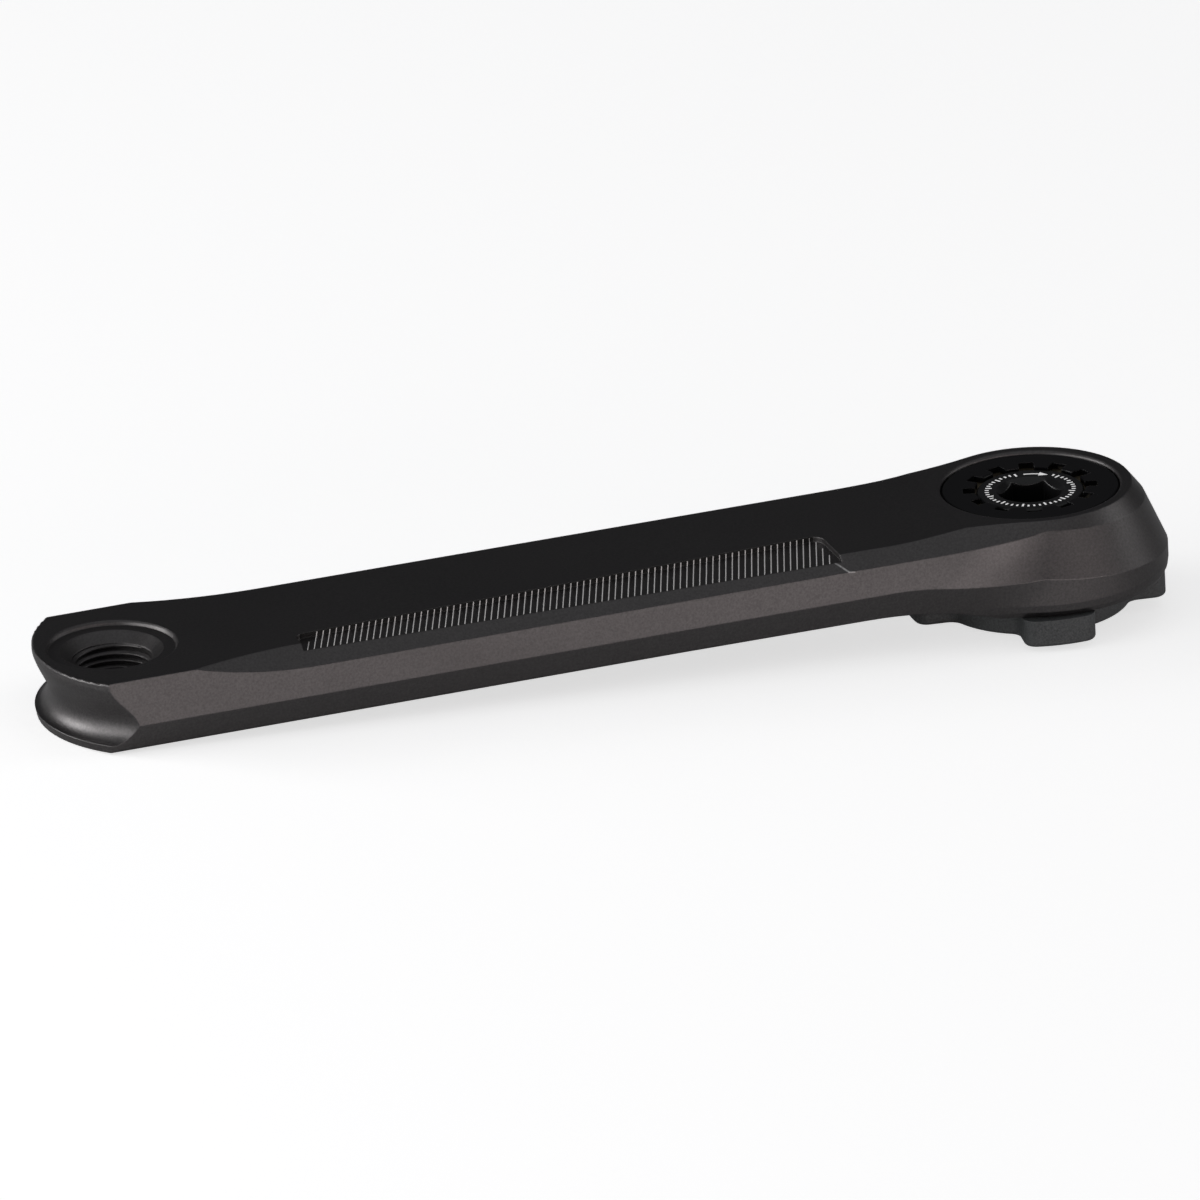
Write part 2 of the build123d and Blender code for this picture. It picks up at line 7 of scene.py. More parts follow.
import json
import logging
import math
from dataclasses import dataclass, field
from enum import Enum
from typing import Callable, Dict, List, Sequence, Tuple

import bmesh
import bpy
from mathutils import Matrix, Vector

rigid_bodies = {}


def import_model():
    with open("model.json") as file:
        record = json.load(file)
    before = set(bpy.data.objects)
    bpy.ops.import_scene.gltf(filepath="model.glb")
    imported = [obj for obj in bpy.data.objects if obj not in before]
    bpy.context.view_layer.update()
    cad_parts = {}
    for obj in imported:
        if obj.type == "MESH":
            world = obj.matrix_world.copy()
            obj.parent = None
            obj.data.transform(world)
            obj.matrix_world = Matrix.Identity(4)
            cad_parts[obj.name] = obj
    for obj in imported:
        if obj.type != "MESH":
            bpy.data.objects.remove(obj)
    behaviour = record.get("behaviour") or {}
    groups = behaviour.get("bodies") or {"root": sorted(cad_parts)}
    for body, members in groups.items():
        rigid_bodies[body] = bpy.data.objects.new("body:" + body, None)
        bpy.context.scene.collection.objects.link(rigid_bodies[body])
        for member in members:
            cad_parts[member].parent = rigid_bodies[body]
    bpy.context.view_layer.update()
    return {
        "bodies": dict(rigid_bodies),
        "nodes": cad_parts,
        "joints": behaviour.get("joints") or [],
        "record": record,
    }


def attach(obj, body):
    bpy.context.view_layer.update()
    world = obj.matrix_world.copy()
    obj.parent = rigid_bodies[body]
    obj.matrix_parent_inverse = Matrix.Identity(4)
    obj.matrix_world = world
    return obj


LOG = logging.getLogger("crank_arm")
MM = 0.001
FLOAT = "NodeSocketFloat"
VECTOR = "NodeSocketVector"
WHITE = (1.0, 1.0, 1.0, 1.0)

Colour = Tuple[float, float, float]
Point = Tuple[float, float, float]


class Body(Enum):
    """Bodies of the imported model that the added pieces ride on."""

    ARM = "arm"
    BOLT = "bolt"


class Slot(Enum):
    """Names of material slots in the record."""

    ARM = "black_anodised"
    BOLT = "black_steel"


def rgba(colour: Colour) -> Tuple[float, float, float, float]:
    """Colour with full alpha."""
    return (colour[0], colour[1], colour[2], 1.0)


class Graph:
    """Small helper round a node tree."""

    def __init__(self, tree: bpy.types.NodeTree) -> None:
        """Keeps the tree that nodes are added to."""
        self.tree = tree

    def add(self, kind: str, **inputs: object) -> bpy.types.Node:
        """Adds a node and fills its inputs.

        Args:
            kind: node type, such as ShaderNodeTexNoise.
            inputs: socket name with underscores for spaces, and a socket to link or a plain value.

        Returns:
            The new node.
        """
        node = self.tree.nodes.new(kind)
        for key, value in inputs.items():
            self.feed(node.inputs[key.replace("_", " ")], value)
        return node

    def feed(self, socket: bpy.types.NodeSocket, value: object) -> None:
        """Links a socket, or sets its value."""
        if isinstance(value, bpy.types.NodeSocket):
            self.tree.links.new(value, socket)
        else:
            socket.default_value = value

    def math(self, operation: str, first: object, second: object = 0.0,
             third: object = 0.0) -> bpy.types.NodeSocket:
        """Adds a Math node.

        Args:
            operation: name of the operation.
            first: first operand, a socket or a number.
            second: second operand.
            third: third operand.

        Returns:
            The value socket.
        """
        node = self.tree.nodes.new("ShaderNodeMath")
        node.operation = operation
        for socket, value in zip(node.inputs, (first, second, third)):
            self.feed(socket, value)
        return node.outputs[0]

    def vector(self, operation: str, first: object, second: object = (0.0, 0.0, 0.0)) -> bpy.types.Node:
        """Adds a Vector Math node.

        Args:
            operation: name of the operation.
            first: first operand, a socket or three numbers.
            second: second operand.

        Returns:
            The node, with a Vector and a Value output.
        """
        node = self.tree.nodes.new("ShaderNodeVectorMath")
        node.operation = operation
        self.feed(node.inputs[0], first)
        self.feed(node.inputs[1], second)
        return node

    def mix(self, factor: object, first: object, second: object) -> bpy.types.NodeSocket:
        """Adds a colour mix.

        Args:
            factor: mask between the two colours.
            first: colour or socket where the mask is 0.
            second: colour or socket where the mask is 1.

        Returns:
            The colour socket.
        """
        node = self.tree.nodes.new("ShaderNodeMix")
        node.data_type = "RGBA"
        self.feed(node.inputs[0], factor)
        for socket, value in ((node.inputs[6], first), (node.inputs[7], second)):
            self.feed(socket, value if isinstance(value, bpy.types.NodeSocket) else rgba(value))
        return node.outputs[2]

    def span(self, value: object, low: float, high: float, to_low: float,
             to_high: float) -> bpy.types.NodeSocket:
        """Adds a clamped Map Range.

        Args:
            value: socket to map.
            low: start of the input range.
            high: end of the input range.
            to_low: output at the start.
            to_high: output at the end.

        Returns:
            The mapped socket.
        """
        node = self.add("ShaderNodeMapRange", Value=value)
        limits = {"From Min": low, "From Max": high, "To Min": to_low, "To Max": to_high}
        for name, number in limits.items():
            node.inputs[name].default_value = number
        return node.outputs["Result"]


class Effects:
    """Shader node groups that several finishes share, each built once."""

    noise_low = 0.3
    noise_high = 0.7
    broad_share = 0.018
    speck_reach = 0.036
    edge_flat = 0.995
    edge_turned = 0.90
    edge_patches = 220.0
    scratch_patches = 1400.0
    wall_half_share = 0.505
    wall_facing = -0.5

    def __init__(self) -> None:
        """Starts with no groups."""
        self.made: Dict[str, bpy.types.NodeTree] = {}

    def group(self, name: str, inputs: Sequence[Tuple[str, str, object]],
              outputs: Sequence[Tuple[str, str]],
              fill: Callable[[Graph, bpy.types.Node, bpy.types.Node], None]) -> bpy.types.NodeTree:
        """Gives the named group, building it on first use.

        Args:
            name: group name.
            inputs: name, socket type and default of each input.
            outputs: name and socket type of each output.
            fill: function that adds the nodes between the group's input and output nodes.

        Returns:
            The node tree.
        """
        if name in self.made:
            return self.made[name]
        tree = bpy.data.node_groups.new(name, "ShaderNodeTree")
        for label, kind, default in inputs:
            socket = tree.interface.new_socket(name=label, in_out="INPUT", socket_type=kind)
            socket.default_value = default
        for label, kind in outputs:
            tree.interface.new_socket(name=label, in_out="OUTPUT", socket_type=kind)
        graph = Graph(tree)
        fill(graph, tree.nodes.new("NodeGroupInput"), tree.nodes.new("NodeGroupOutput"))
        self.made[name] = tree
        return tree

    def place(self, graph: Graph, tree: bpy.types.NodeTree, **values: object) -> bpy.types.Node:
        """Places a group in a material.

        Args:
            graph: the material's graph.
            tree: the group.
            values: input values, underscores for spaces.

        Returns:
            The group node.
        """
        node = graph.tree.nodes.new("ShaderNodeGroup")
        node.node_tree = tree
        for key, value in values.items():
            graph.feed(node.inputs[key.replace("_", " ")], value)
        return node

    def grain(self) -> bpy.types.NodeTree:
        """Fine blasted or moulded grain: a value round one half and a height."""

        def fill(graph: Graph, given: bpy.types.Node, out: bpy.types.Node) -> None:
            place = graph.add("ShaderNodeTexCoord").outputs["Object"]
            scale = given.outputs["Scale"]
            fine = graph.add("ShaderNodeTexNoise", Vector=place, Scale=scale, Detail=3.0, Roughness=0.62)
            broad_scale = graph.math("MULTIPLY", scale, self.broad_share)
            broad = graph.add("ShaderNodeTexNoise", Vector=place, Scale=broad_scale, Detail=2.0)
            graph.feed(out.inputs["Height"], fine.outputs["Fac"])
            for label, noise in (("Speckle", fine), ("Cloud", broad)):
                value = graph.span(noise.outputs["Fac"], self.noise_low, self.noise_high, 0.0, 1.0)
                graph.feed(out.inputs[label], value)

        return self.group("fine_grain", [("Scale", FLOAT, 3000.0)],
                          [("Height", FLOAT), ("Speckle", FLOAT), ("Cloud", FLOAT)], fill)

    def dust(self) -> bpy.types.NodeTree:
        """Sparse tiny specks as a mask."""

        def fill(graph: Graph, given: bpy.types.Node, out: bpy.types.Node) -> None:
            place = graph.add("ShaderNodeTexCoord").outputs["Object"]
            cells = graph.add("ShaderNodeTexVoronoi", Vector=place, Scale=given.outputs["Density"])
            near = graph.span(cells.outputs["Distance"], 0.0, self.speck_reach, 1.0, 0.0)
            chosen = graph.math("LESS_THAN", cells.outputs["Color"], given.outputs["Share"])
            graph.feed(out.inputs["Mask"], graph.math("MULTIPLY", near, chosen))

        return self.group("dust_specks", [("Density", FLOAT, 160.0), ("Share", FLOAT, 0.25)],
                          [("Mask", FLOAT)], fill)

    def edges(self) -> bpy.types.NodeTree:
        """Softened edges: a rounded normal, and a broken mask along every sharp edge."""

        def fill(graph: Graph, given: bpy.types.Node, out: bpy.types.Node) -> None:
            rounded = graph.add("ShaderNodeBevel", Radius=given.outputs["Radius"])
            rounded.samples = 6
            flat = graph.add("ShaderNodeNewGeometry").outputs["Normal"]
            turn = graph.vector("DOT_PRODUCT", rounded.outputs["Normal"], flat)
            worn = graph.span(turn.outputs["Value"], self.edge_flat, self.edge_turned, 0.0, 1.0)
            place = graph.add("ShaderNodeTexCoord").outputs["Object"]
            patches = graph.add("ShaderNodeTexNoise", Vector=place, Scale=self.edge_patches, Detail=4.0)
            broken = graph.span(patches.outputs["Fac"], 0.35, 0.75, 0.25, 1.0)
            graph.feed(out.inputs["Normal"], rounded.outputs["Normal"])
            graph.feed(out.inputs["Wear"], graph.math("MULTIPLY", worn, broken))

        return self.group("soft_edges", [("Radius", FLOAT, 0.3 * MM)],
                          [("Normal", VECTOR), ("Wear", FLOAT)], fill)

    def scratch(self) -> bpy.types.NodeTree:
        """One fine straight scratch between two points, as a broken mask."""

        def fill(graph: Graph, given: bpy.types.Node, out: bpy.types.Node) -> None:
            place = graph.add("ShaderNodeTexCoord").outputs["Object"]
            start = given.outputs["Start"]
            run = graph.vector("SUBTRACT", given.outputs["End"], start).outputs["Vector"]
            along = graph.vector("SUBTRACT", place, start).outputs["Vector"]
            length = graph.vector("DOT_PRODUCT", run, run).outputs["Value"]
            reach = graph.vector("DOT_PRODUCT", along, run).outputs["Value"]
            share = graph.math("DIVIDE", reach, length)
            held = graph.math("MAXIMUM", graph.math("MINIMUM", share, 1.0), 0.0)
            step = graph.tree.nodes.new("ShaderNodeVectorMath")
            step.operation = "SCALE"
            graph.feed(step.inputs[0], run)
            graph.feed(step.inputs["Scale"], held)
            away = graph.vector("DISTANCE", along, step.outputs["Vector"]).outputs["Value"]
            near = graph.math("SUBTRACT", 1.0, graph.math("DIVIDE", away, given.outputs["Width"]))
            patches = graph.add("ShaderNodeTexNoise", Vector=place, Scale=self.scratch_patches, Detail=2.0)
            broken = graph.span(patches.outputs["Fac"], 0.35, 0.6, 0.45, 1.0)
            line = graph.math("MAXIMUM", near, 0.0)
            graph.feed(out.inputs["Mask"], graph.math("MULTIPLY", line, broken))

        return self.group("single_scratch", [("Start", VECTOR, (0.0, 0.0, 0.0)),
                                             ("End", VECTOR, (0.0, 0.0, 0.01)),
                                             ("Width", FLOAT, 0.2 * MM)],
                          [("Mask", FLOAT)], fill)

    def wall_shade(self) -> bpy.types.NodeTree:
        """Mask of an upright wall that runs between two points and faces the near side, for painting shade
        on it.
        """

        def fill(graph: Graph, given: bpy.types.Node, out: bpy.types.Node) -> None:
            place = graph.add("ShaderNodeTexCoord").outputs["Object"]
            axes = graph.add("ShaderNodeSeparateXYZ", Vector=place)
            start = graph.add("ShaderNodeSeparateXYZ", Vector=given.outputs["Start"])
            end = graph.add("ShaderNodeSeparateXYZ", Vector=given.outputs["End"])
            run = graph.math("SUBTRACT", end.outputs["X"], start.outputs["X"])
            along = graph.math("SUBTRACT", axes.outputs["X"], start.outputs["X"])
            share = graph.math("DIVIDE", along, run)
            rise = graph.math("SUBTRACT", end.outputs["Y"], start.outputs["Y"])
            line = graph.math("MULTIPLY_ADD", rise, share, start.outputs["Y"])
            away = graph.math("ABSOLUTE", graph.math("SUBTRACT", axes.outputs["Y"], line))
            near = graph.math("LESS_THAN", away, given.outputs["Reach"])
            above = graph.math("GREATER_THAN", axes.outputs["Z"], start.outputs["Z"])
            from_middle = graph.math("ABSOLUTE", graph.math("SUBTRACT", share, 0.5))
            inside = graph.math("LESS_THAN", from_middle, self.wall_half_share)
            normal = graph.add("ShaderNodeNewGeometry").outputs["True Normal"]
            facing = graph.add("ShaderNodeSeparateXYZ", Vector=normal)
            upright = graph.math("LESS_THAN", facing.outputs["Y"], self.wall_facing)
            within = graph.math("MULTIPLY", graph.math("MULTIPLY", above, inside), upright)
            graph.feed(out.inputs["Mask"], graph.math("MULTIPLY", near, within))

        return self.group("wall_shade", [("Start", VECTOR, (0.0, 0.0, 0.0)),
                                         ("End", VECTOR, (0.01, 0.0, 0.0)),
                                         ("Reach", FLOAT, 0.2 * MM)],
                          [("Mask", FLOAT)], fill)

    def turning(self) -> bpy.types.NodeTree:
        """Concentric lathe lines about the axle axis, as a height."""

        def fill(graph: Graph, given: bpy.types.Node, out: bpy.types.Node) -> None:
            place = graph.add("ShaderNodeTexCoord").outputs["Object"]
            axes = graph.add("ShaderNodeSeparateXYZ", Vector=place)
            square = graph.math("ADD", graph.math("MULTIPLY", axes.outputs["X"], axes.outputs["X"]),
                                graph.math("MULTIPLY", axes.outputs["Y"], axes.outputs["Y"]))
            radius = graph.math("SQRT", square)
            rate = graph.math("DIVIDE", 2 * math.pi, given.outputs["Pitch"])
            phase = graph.math("MULTIPLY", radius, rate)
            wave = graph.math("MULTIPLY_ADD", graph.math("SINE", phase), 0.5, 0.5)
            graph.feed(out.inputs["Height"], wave)

        return self.group("lathe_lines", [("Pitch", FLOAT, 0.12 * MM)], [("Height", FLOAT)], fill)


@dataclass(frozen=True)
class Finish:
    """A dark or bright finish with grain, softened edges, wear, dust and painted shade on chosen walls.

    The constants of the surface are plain fields, and set on the shader's own sockets.
    """

    name: str
    base: Colour
    shade: Colour
    worn: Colour
    metallic: float
    rough_low: float
    rough_high: float
    grain_scale: float
    grain_depth: float
    edge_radius: float = 0.3 * MM
    wear: float = 0.5
    dust_share: float = 0.0
    dust_colour: Colour = (0.30, 0.29, 0.28)
    lathe_pitch: float = 0.0
    specular: float = 0.5
    speckle: float = 0.35
    cloud: float = 0.35
    lathe_grain: float = 0.5
    glow: float = 0.0
    # Painted shade: walls darkened to a near-black colour that stands in for shade in the pocket.
    painted_shade_walls: Tuple[Tuple[Point, Point], ...] = ()
    painted_shade_colour: Colour = (0.03, 0.03, 0.03)
    scratches: Tuple[Tuple[Point, Point, float], ...] = ()
    scratch_colour: Colour = (0.75, 0.74, 0.73)

    def make(self, effects: Effects) -> bpy.types.Material:
        """Builds the material.

        Args:
            effects: the shared node groups.

        Returns:
            The new material.
        """
        material = bpy.data.materials.new(self.name)
        material.use_nodes = True
        graph = Graph(material.node_tree)
        shader = material.node_tree.nodes["Principled BSDF"]
        shader.inputs["Metallic"].default_value = self.metallic
        shader.inputs["Specular IOR Level"].default_value = self.specular
        shader.inputs["Emission Color"].default_value = rgba(self.base)
        shader.inputs["Emission Strength"].default_value = self.glow
        grain = effects.place(graph, effects.grain(), Scale=self.grain_scale)
        edges = effects.place(graph, effects.edges(), Radius=self.edge_radius)
        cloud = graph.math("MULTIPLY", grain.outputs["Cloud"], self.cloud)
        colour = graph.mix(cloud, self.base, self.shade)
        speckle = graph.math("MULTIPLY", grain.outputs["Speckle"], self.speckle)
        colour = graph.mix(speckle, colour, self.shade)
        wear = graph.math("MULTIPLY", edges.outputs["Wear"], self.wear)
        colour = graph.mix(wear, colour, self.worn)
        if self.dust_share > 0.0:
            dust = effects.place(graph, effects.dust(), Share=self.dust_share)
            colour = graph.mix(dust.outputs["Mask"], colour, self.dust_colour)
        # Painted shade: each listed wall is darkened towards the near-black shade colour.
        for start, end in self.painted_shade_walls:
            wall = effects.place(graph, effects.wall_shade(), Start=start, End=end)
            colour = graph.mix(wall.outputs["Mask"], colour, self.painted_shade_colour)
        for start, end, width in self.scratches:
            mark = effects.place(graph, effects.scratch(), Start=start, End=end, Width=width)
            colour = graph.mix(mark.outputs["Mask"], colour, self.scratch_colour)
        graph.feed(shader.inputs["Base Color"], colour)
        rough = graph.span(grain.outputs["Cloud"], 0.0, 1.0, self.rough_low, self.rough_high)
        graph.feed(shader.inputs["Roughness"], rough)
        height = grain.outputs["Height"]
        if self.lathe_pitch > 0.0:
            lathe = effects.place(graph, effects.turning(), Pitch=self.lathe_pitch)
            height = graph.math("MULTIPLY_ADD", height, self.lathe_grain, lathe.outputs["Height"])
        bump = graph.add("ShaderNodeBump", Height=height, Normal=edges.outputs["Normal"])
        bump.inputs["Strength"].default_value = 1.0
        bump.inputs["Distance"].default_value = self.grain_depth
        graph.feed(shader.inputs["Normal"], bump.outputs["Normal"])
        return material


POCKET_LEFT: Point = (-142.0 * MM, -9.7 * MM, 18.6 * MM)
POCKET_RIGHT: Point = (-41.5 * MM, -4.6 * MM, 18.6 * MM)
SCRATCH_TOP: Point = (-43.67 * MM, -15.35 * MM, 20.16 * MM)
SCRATCH_BEND: Point = (-40.95 * MM, -17.97 * MM, 18.15 * MM)
SCRATCH_END: Point = (-39.89 * MM, -18.14 * MM, 18.02 * MM)

ANODISED = Finish(
    name="matte_black_anodising",
    base=(0.146, 0.140, 0.1405), shade=(0.096, 0.092, 0.0925), worn=(0.24, 0.235, 0.235),
    metallic=1.0, rough_low=0.39, rough_high=0.45, grain_scale=2400.0, grain_depth=0.009 * MM,
    wear=0.35, speckle=0.9, dust_share=0.34, dust_colour=(0.8, 0.78, 0.75),
    # Painted shade on the pocket's far wall.
    painted_shade_walls=((POCKET_LEFT, POCKET_RIGHT),),
    scratches=((SCRATCH_TOP, SCRATCH_BEND, 0.26 * MM), (SCRATCH_BEND, SCRATCH_END, 0.2 * MM)),
)
GLOSS = Finish(
    name="gloss_black_ring",
    base=(0.0025, 0.0025, 0.003), shade=(0.004, 0.004, 0.0045), worn=(0.10, 0.10, 0.10),
    metallic=0.0, rough_low=0.07, rough_high=0.12, grain_scale=5200.0, grain_depth=0.0006 * MM,
    wear=0.12, dust_share=0.10, specular=0.2,
)
OXIDE = Finish(
    name="black_oxide_steel",
    base=(0.007, 0.007, 0.0075), shade=(0.010, 0.010, 0.0105), worn=(0.14, 0.14, 0.14),
    metallic=0.0, rough_low=0.18, rough_high=0.28, grain_scale=4200.0, grain_depth=0.0012 * MM,
    wear=0.2, dust_share=0.12, lathe_pitch=0.16 * MM,
)
BRONZE = Finish(
    name="pale_bronze_washer",
    base=(0.40, 0.34, 0.24), shade=(0.33, 0.28, 0.19), worn=(0.52, 0.46, 0.34),
    metallic=0.9, rough_low=0.28, rough_high=0.42, grain_scale=3600.0, grain_depth=0.0010 * MM,
    lathe_pitch=0.14 * MM,
)
STEEL = Finish(
    name="turned_washer_steel",
    base=(0.58, 0.58, 0.59), shade=(0.48, 0.48, 0.50), worn=(0.75, 0.75, 0.76),
    metallic=1.0, rough_low=0.25, rough_high=0.38, grain_scale=3600.0, grain_depth=0.0010 * MM,
    lathe_pitch=0.16 * MM,
)
NYLON = Finish(
    name="moulded_black_nylon",
    base=(0.035, 0.037, 0.038), shade=(0.102, 0.110, 0.112), worn=(0.18, 0.185, 0.187),
    metallic=0.0, rough_low=0.46, rough_high=0.60, grain_scale=3000.0, grain_depth=0.05 * MM,
    wear=0.4, speckle=0.85, dust_share=0.3,
)
PRINT = Finish(
    name="white_print",
    base=(0.92, 0.92, 0.92), shade=(0.84, 0.84, 0.84), worn=(0.92, 0.92, 0.92),
    metallic=0.0, rough_low=0.45, rough_high=0.60, grain_scale=5000.0, grain_depth=0.001 * MM,
    edge_radius=0.03 * MM, glow=0.4,
)
ETCH = Finish(
    name="laser_etched_silver",
    base=(0.82, 0.80, 0.79), shade=(0.66, 0.65, 0.64), worn=(0.82, 0.80, 0.79),
    metallic=0.0, rough_low=0.62, rough_high=0.78, grain_scale=6000.0, grain_depth=0.002 * MM,
    edge_radius=0.02 * MM, glow=0.05,
)


class Meshes:
    """Makers of mesh objects."""

    @staticmethod
    def from_bmesh(name: str, mesh: bmesh.types.BMesh, smooth: bool = False) -> bpy.types.Object:
        """Turns a bmesh into a linked object.

        Args:
            name: object name.
            mesh: the geometry, freed here.
            smooth: shade smooth.

        Returns:
            The new object.
        """
        bmesh.ops.recalc_face_normals(mesh, faces=mesh.faces)
        data = bpy.data.meshes.new(name)
        mesh.to_mesh(data)
        mesh.free()
        for polygon in data.polygons:
            polygon.use_smooth = smooth
        piece = bpy.data.objects.new(name, data)
        bpy.context.scene.collection.objects.link(piece)
        return piece

    @staticmethod
    def slab(mesh: bmesh.types.BMesh, outline: Sequence[Point], rise: Vector) -> None:
        """Adds a closed thin slab.

        Args:
            mesh: where it is added.
            outline: corners of its foot, in order.
            rise: from the foot to the top face.
        """
        foot = [mesh.verts.new(Vector(p)) for p in outline]
        top = [mesh.verts.new(Vector(p) + rise) for p in outline]
        count = len(outline)
        mesh.faces.new(foot[::-1])
        mesh.faces.new(top)
        for i in range(count):
            j = (i + 1) % count
            mesh.faces.new((foot[i], foot[j], top[j], top[i]))


def adopt(piece: bpy.types.Object, body: Body, material: bpy.types.Material) -> None:
    """Dresses a new piece and lets it ride on a body.

    Args:
        piece: the new object.
        body: body that carries it.
        material: its material.
    """
    piece.data.materials.clear()
    piece.data.materials.append(material)
    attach(piece, body.value)
    LOG.info("piece %s on %s: %d faces", piece.name, body.value, len(piece.data.polygons))


@dataclass
class PedalEye:
    """Left-handed pedal thread inside the plain hole of the pedal eye."""

    centre_x: float = -172.5 * MM
    wall_r: float = 7.144 * MM
    sunk: float = 0.03 * MM
    crest_r: float = 6.52 * MM
    crest_half: float = 0.09 * MM
    root_half: float = 0.56 * MM
    pitch: float = 1.27 * MM
    low_z: float = 9.45 * MM
    high_z: float = 18.25 * MM
    steps_per_turn: int = 72
    fade_turns: float = 0.35
    least_height: float = 0.02

    def build(self) -> bpy.types.Object:
        """Sweeps the thread's ridge along its helix and returns the object."""
        mesh = bmesh.new()
        turns = (self.high_z - self.low_z) / self.pitch
        steps = int(round(turns * self.steps_per_turn))
        rows: List[List[bmesh.types.BMVert]] = []
        for i in range(steps + 1):
            turn = turns * i / steps
            angle = -2 * math.pi * turn
            z = self.low_z + self.pitch * turn
            fade = min(1.0, turn / self.fade_turns, (turns - turn) / self.fade_turns)
            crest = self.wall_r - max(self.least_height, fade) * (self.wall_r - self.crest_r)
            root = self.wall_r + self.sunk
            profile = ((root, -self.root_half), (crest, -self.crest_half),
                       (crest, self.crest_half), (root, self.root_half))
            row = []
            for r, dz in profile:
                x = self.centre_x + r * math.cos(angle)
                row.append(mesh.verts.new((x, r * math.sin(angle), z + dz)))
            rows.append(row)
        for first, second in zip(rows, rows[1:]):
            for k in range(len(first)):
                m = (k + 1) % len(first)
                mesh.faces.new((first[k], first[m], second[m], second[k]))
        mesh.faces.new(rows[0][::-1])
        mesh.faces.new(rows[-1])
        return Meshes.from_bmesh("pedal_thread", mesh)


@dataclass
class EtchedPocket:
    """Row of etched lines on the floor and the far wall of the slanting pocket."""

    start_x: float = -141.2 * MM
    end_x: float = -42.6 * MM
    count: int = 82
    face_z: float = 21.2 * MM
    depth: float = 1.0 * MM
    dish_start_x: float = -145.0 * MM
    dish_drop: float = 0.8 / 113.0
    top_half: float = 14.0 * MM
    bevel_slope: float = 1.3
    wall_start: Point = POCKET_LEFT
    wall_end: Point = POCKET_RIGHT
    lean_left: float = 22.6
    lean_right: float = 19.2
    climb: float = 0.8 * MM
    climb_lean_left: float = 11.1
    climb_lean_right: float = 1.9
    width: float = 0.18 * MM
    height: float = 0.03 * MM
    sunk: float = 0.005 * MM
    gap: float = 0.2 * MM
    first_share: float = 0.62
    least_widths: float = 4.0

    def floor_z(self, x: float) -> float:
        """Height of the pocket's floor at X."""
        return self.face_z - self.depth - (x - self.dish_start_x) * self.dish_drop

    def wall_slope(self) -> float:
        """Step in Y of the pocket's far wall for each step in X."""
        return (self.wall_end[1] - self.wall_start[1]) / (self.wall_end[0] - self.wall_start[0])

    def wall_y(self, x: float) -> float:
        """Y of the pocket's far wall at X."""
        return self.wall_start[1] + (x - self.wall_start[0]) * self.wall_slope()

    def rim_y(self, x: float) -> float:
        """Y where the pocket's floor runs out on the bevel at X."""
        return -(self.top_half + (self.face_z - self.floor_z(x)) * self.bevel_slope)

    def blend(self, share: float, left: float, right: float) -> float:
        """Tangent of an angle that goes from its left to its right value along the pocket."""
        return math.tan(math.radians(left + share * (right - left)))

    def floor_line(self, mesh: bmesh.types.BMesh, near: Tuple[float, float],
                   far: Tuple[float, float]) -> None:
        """Lays one line on the pocket's floor.

        Args:
            mesh: where it is added.
            near: X and Y of the end at the bevel.
            far: X and Y of the other end.
        """
        half = self.width / 2
        outline = [(x + side, y, self.floor_z(x) - self.sunk)
                   for (x, y), side in ((near, -half), (near, half), (far, half), (far, -half))]
        Meshes.slab(mesh, outline, Vector((0.0, 0.0, self.height)))

    def wall_line(self, mesh: bmesh.types.BMesh, foot_x: float, lean: float) -> None:
        """Carries one line up the pocket's far wall.

        Args:
            mesh: where it is added.
            foot_x: X of its foot.
            lean: step in X for each step up.
        """
        half = self.width / 2
        low = self.floor_z(foot_x)
        outline = []
        for side, share in ((-half, 0.0), (half, 0.0), (half, 1.0), (-half, 1.0)):
            x = foot_x + side + share * self.climb * lean
            outline.append((x, self.wall_y(x) + self.sunk, low + share * self.climb))
        Meshes.slab(mesh, outline, Vector((0.0, -self.height, 0.0)))

    def build(self) -> bpy.types.Object:
        """Lays the lines from the bevel to the far wall and up it, and returns the object."""
        mesh = bmesh.new()
        for i in range(self.count):
            share = i / (self.count - 1)
            near_x = self.start_x + share * (self.end_x - self.start_x)
            near_y = self.rim_y(near_x) + self.gap
            lean = self.blend(share, self.lean_left, self.lean_right)
            run = (self.wall_y(near_x) - near_y) / (1.0 - self.wall_slope() * lean)
            part = self.first_share if i == 0 else 1.0
            part = min(part, (self.end_x + self.gap - near_x) / (run * lean))
            if part * run < self.least_widths * self.width:
                continue
            far_x = near_x + part * run * lean
            self.floor_line(mesh, (near_x, near_y), (far_x, near_y + part * run))
            if part == 1.0:
                climb_lean = self.blend(share, self.climb_lean_left, self.climb_lean_right)
                self.wall_line(mesh, far_x, climb_lean)
        return Meshes.from_bmesh("etched_lines", mesh)


